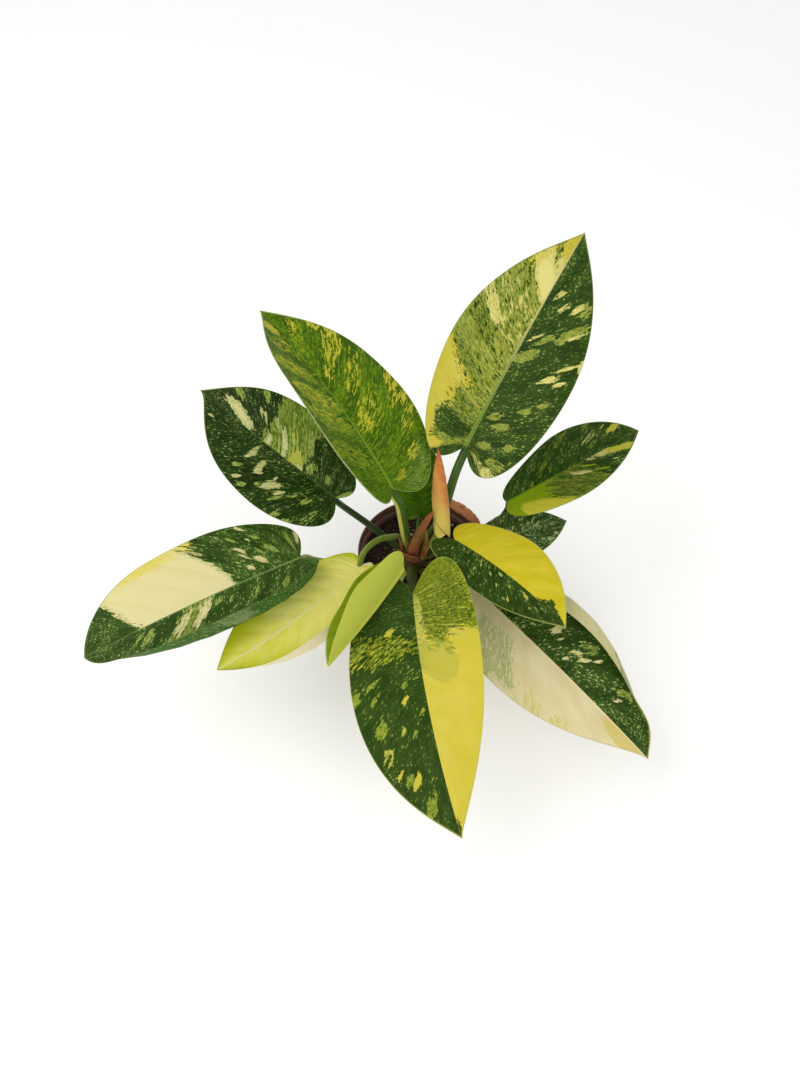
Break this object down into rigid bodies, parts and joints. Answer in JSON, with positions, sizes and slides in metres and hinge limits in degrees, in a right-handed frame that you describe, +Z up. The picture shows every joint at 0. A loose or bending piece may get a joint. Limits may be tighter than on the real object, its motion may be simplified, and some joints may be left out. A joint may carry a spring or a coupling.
{
  "type": "potted aroid foliage plant",
  "caption": "Potted foliage plant: a round tapered pot of soil with a short stem, long-stalked broad heart-shaped variegated leaves spreading all round and one rolled new leaf.",
  "frame": {"origin": "middle of the pot's flat bottom, on the surface that the pot stands on", "axes": "+Z up along the pot's axis; -Y towards the side that the picture was taken from, +X to the picture's right"},
  "size_m": [0.4811, 0.4369, 0.333],
  "materials": {
    "pot": "satin",
    "soil": "matte",
    "stem": "matte",
    "leaf_dark": "satin",
    "leaf_bright": "satin",
    "leaf_lime": "satin",
    "leaf_yellow": "satin",
    "leaf_cream": "satin",
    "new_leaf": "satin",
    "sheath": "matte"
  },
  "bodies": {
    "root": {"pot": "pot", "soil": "soil", "stem": "stem", "leaf_01": "leaf_dark", "leaf_02": "leaf_bright", "leaf_03": "leaf_dark", "leaf_04": "leaf_dark", "leaf_05": "leaf_lime", "leaf_06": "leaf_lime", "leaf_07": "leaf_yellow", "leaf_08": "leaf_yellow", "leaf_09": "leaf_cream", "leaf_10": "leaf_dark", "leaf_11": "leaf_dark", "leaf_12": "leaf_bright", "new_leaf": "new_leaf", "cataphyll_01": "sheath", "cataphyll_02": "sheath", "cataphyll_03": "sheath", "cataphyll_04": "sheath", "cataphyll_05": "sheath"}
  },
  "joints": []
}
